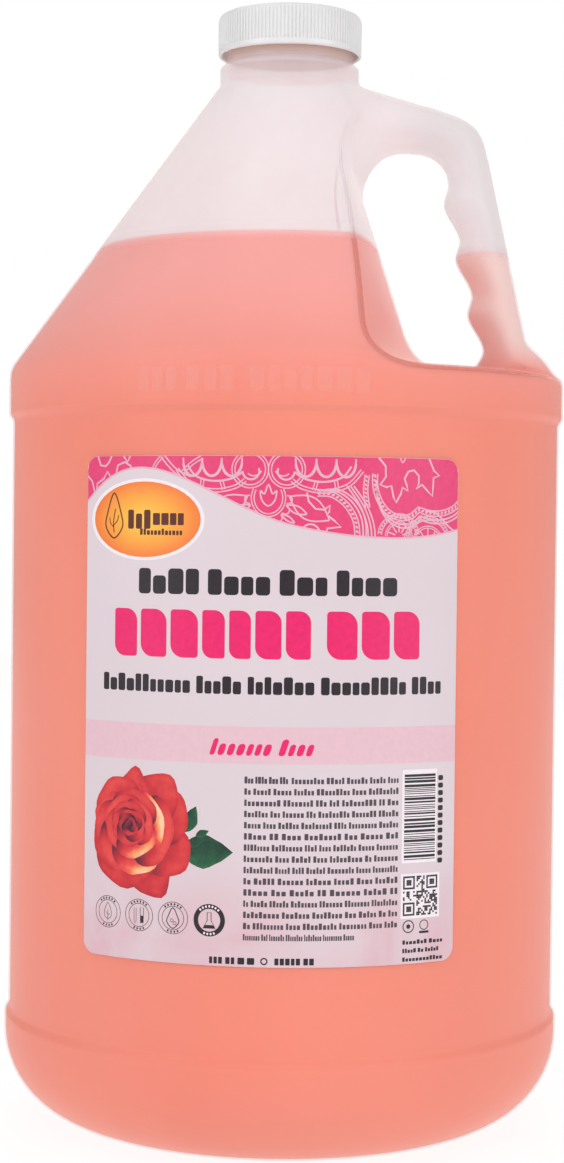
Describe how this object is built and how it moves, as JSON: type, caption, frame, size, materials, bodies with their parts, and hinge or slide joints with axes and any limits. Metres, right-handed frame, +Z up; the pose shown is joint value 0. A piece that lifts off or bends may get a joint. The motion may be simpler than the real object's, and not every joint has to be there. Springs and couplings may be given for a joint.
{
  "type": "screw-cap gallon jug",
  "caption": "Translucent round gallon jug of pink massage oil, with a hollow finger-grip handle, threaded neck, ribbed screw cap and front label.",
  "frame": {"origin": "centre of the base on the body's axis, on the surface the jug stands on", "axes": "+Z up along the neck, +X towards the handle, -Y towards the label"},
  "size_m": [0.154, 0.154, 0.3057],
  "materials": {
    "jug_hdpe": "satin",
    "cap_plastic": "satin",
    "liner_foam": "matte",
    "oil_fill": "liquid",
    "label_film": "semi-gloss"
  },
  "bodies": {
    "jug": {"jug": "jug_hdpe", "oil": "oil_fill", "front_label": "label_film"},
    "liner": {"cap_liner": "liner_foam"},
    "cap": {"screw_cap": "cap_plastic"}
  },
  "joints": [
    {"name": "cap_lift", "type": "slide", "parent": "jug", "child": "liner", "axis": [0, 0, 1], "range_m": [0, 0.01271]},
    {"name": "cap_turn", "type": "hinge", "parent": "liner", "child": "cap", "pos_m": [0, 0, 0.3], "axis": [0, 0, 1], "range_deg": [0, 1080]}
  ],
  "couplings": [
    {"joint": "cap_lift", "follows": "cap_turn", "m_per_rad": 0.00067376}
  ]
}
